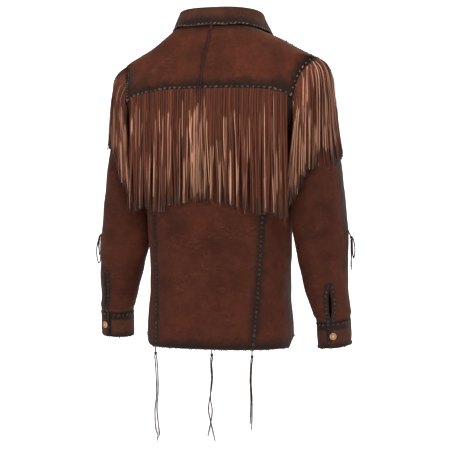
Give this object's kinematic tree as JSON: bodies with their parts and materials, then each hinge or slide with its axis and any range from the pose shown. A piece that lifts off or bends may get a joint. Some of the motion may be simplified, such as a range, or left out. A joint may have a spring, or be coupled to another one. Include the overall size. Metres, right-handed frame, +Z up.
{
  "type": "fringed shirt",
  "caption": "Long-sleeved suede western shirt, filled out as worn: turned-down collar, curved back yoke, long fringe on yoke and armholes, buttoned cuffs, lace ties.",
  "frame": {"origin": "on the plane of symmetry, level with the high points of the shoulders, where the wearer holds the shirt up", "axes": "+Z up, the front faces -Y, the wearer's left is +X"},
  "size_m": [0.647, 0.2762, 0.9993],
  "materials": {
    "suede": "brushed suede",
    "fringe": "suede strips, lighter on the flesh side",
    "lace": "narrow leather lace",
    "button": "satin"
  },
  "bodies": {
    "root": {"back_yoke": "suede", "back_centre": "suede", "back_side_left": "suede", "back_side_right": "suede", "front_left": "suede", "front_right": "suede", "sleeve_left_back": "suede", "sleeve_left_front": "suede", "sleeve_right_back": "suede", "sleeve_right_front": "suede", "cuff_left": "suede", "cuff_right": "suede", "collar": "suede", "fringe_back": "fringe", "fringe_sleeve_left": "fringe", "fringe_sleeve_right": "fringe", "cuff_button_left": "button", "cuff_button_right": "button", "front_button_1": "button", "front_button_2": "button", "front_button_3": "button", "front_button_4": "button", "front_button_5": "button", "front_button_6": "button", "hem_knot_left": "lace", "hem_lace_left_first": "lace", "hem_lace_left_second": "lace", "hem_knot_middle": "lace", "hem_lace_middle_first": "lace", "hem_lace_middle_second": "lace", "hem_knot_right": "lace", "hem_lace_right_first": "lace", "hem_lace_right_second": "lace", "nape_knot": "lace", "nape_lace_first": "lace", "nape_lace_second": "lace", "bow_knot_left": "lace", "bow_left_front_loop": "lace", "bow_left_back_loop": "lace", "bow_left_tail": "lace", "bow_knot_right": "lace", "bow_right_front_loop": "lace", "bow_right_back_loop": "lace", "bow_right_tail": "lace"}
  },
  "joints": []
}
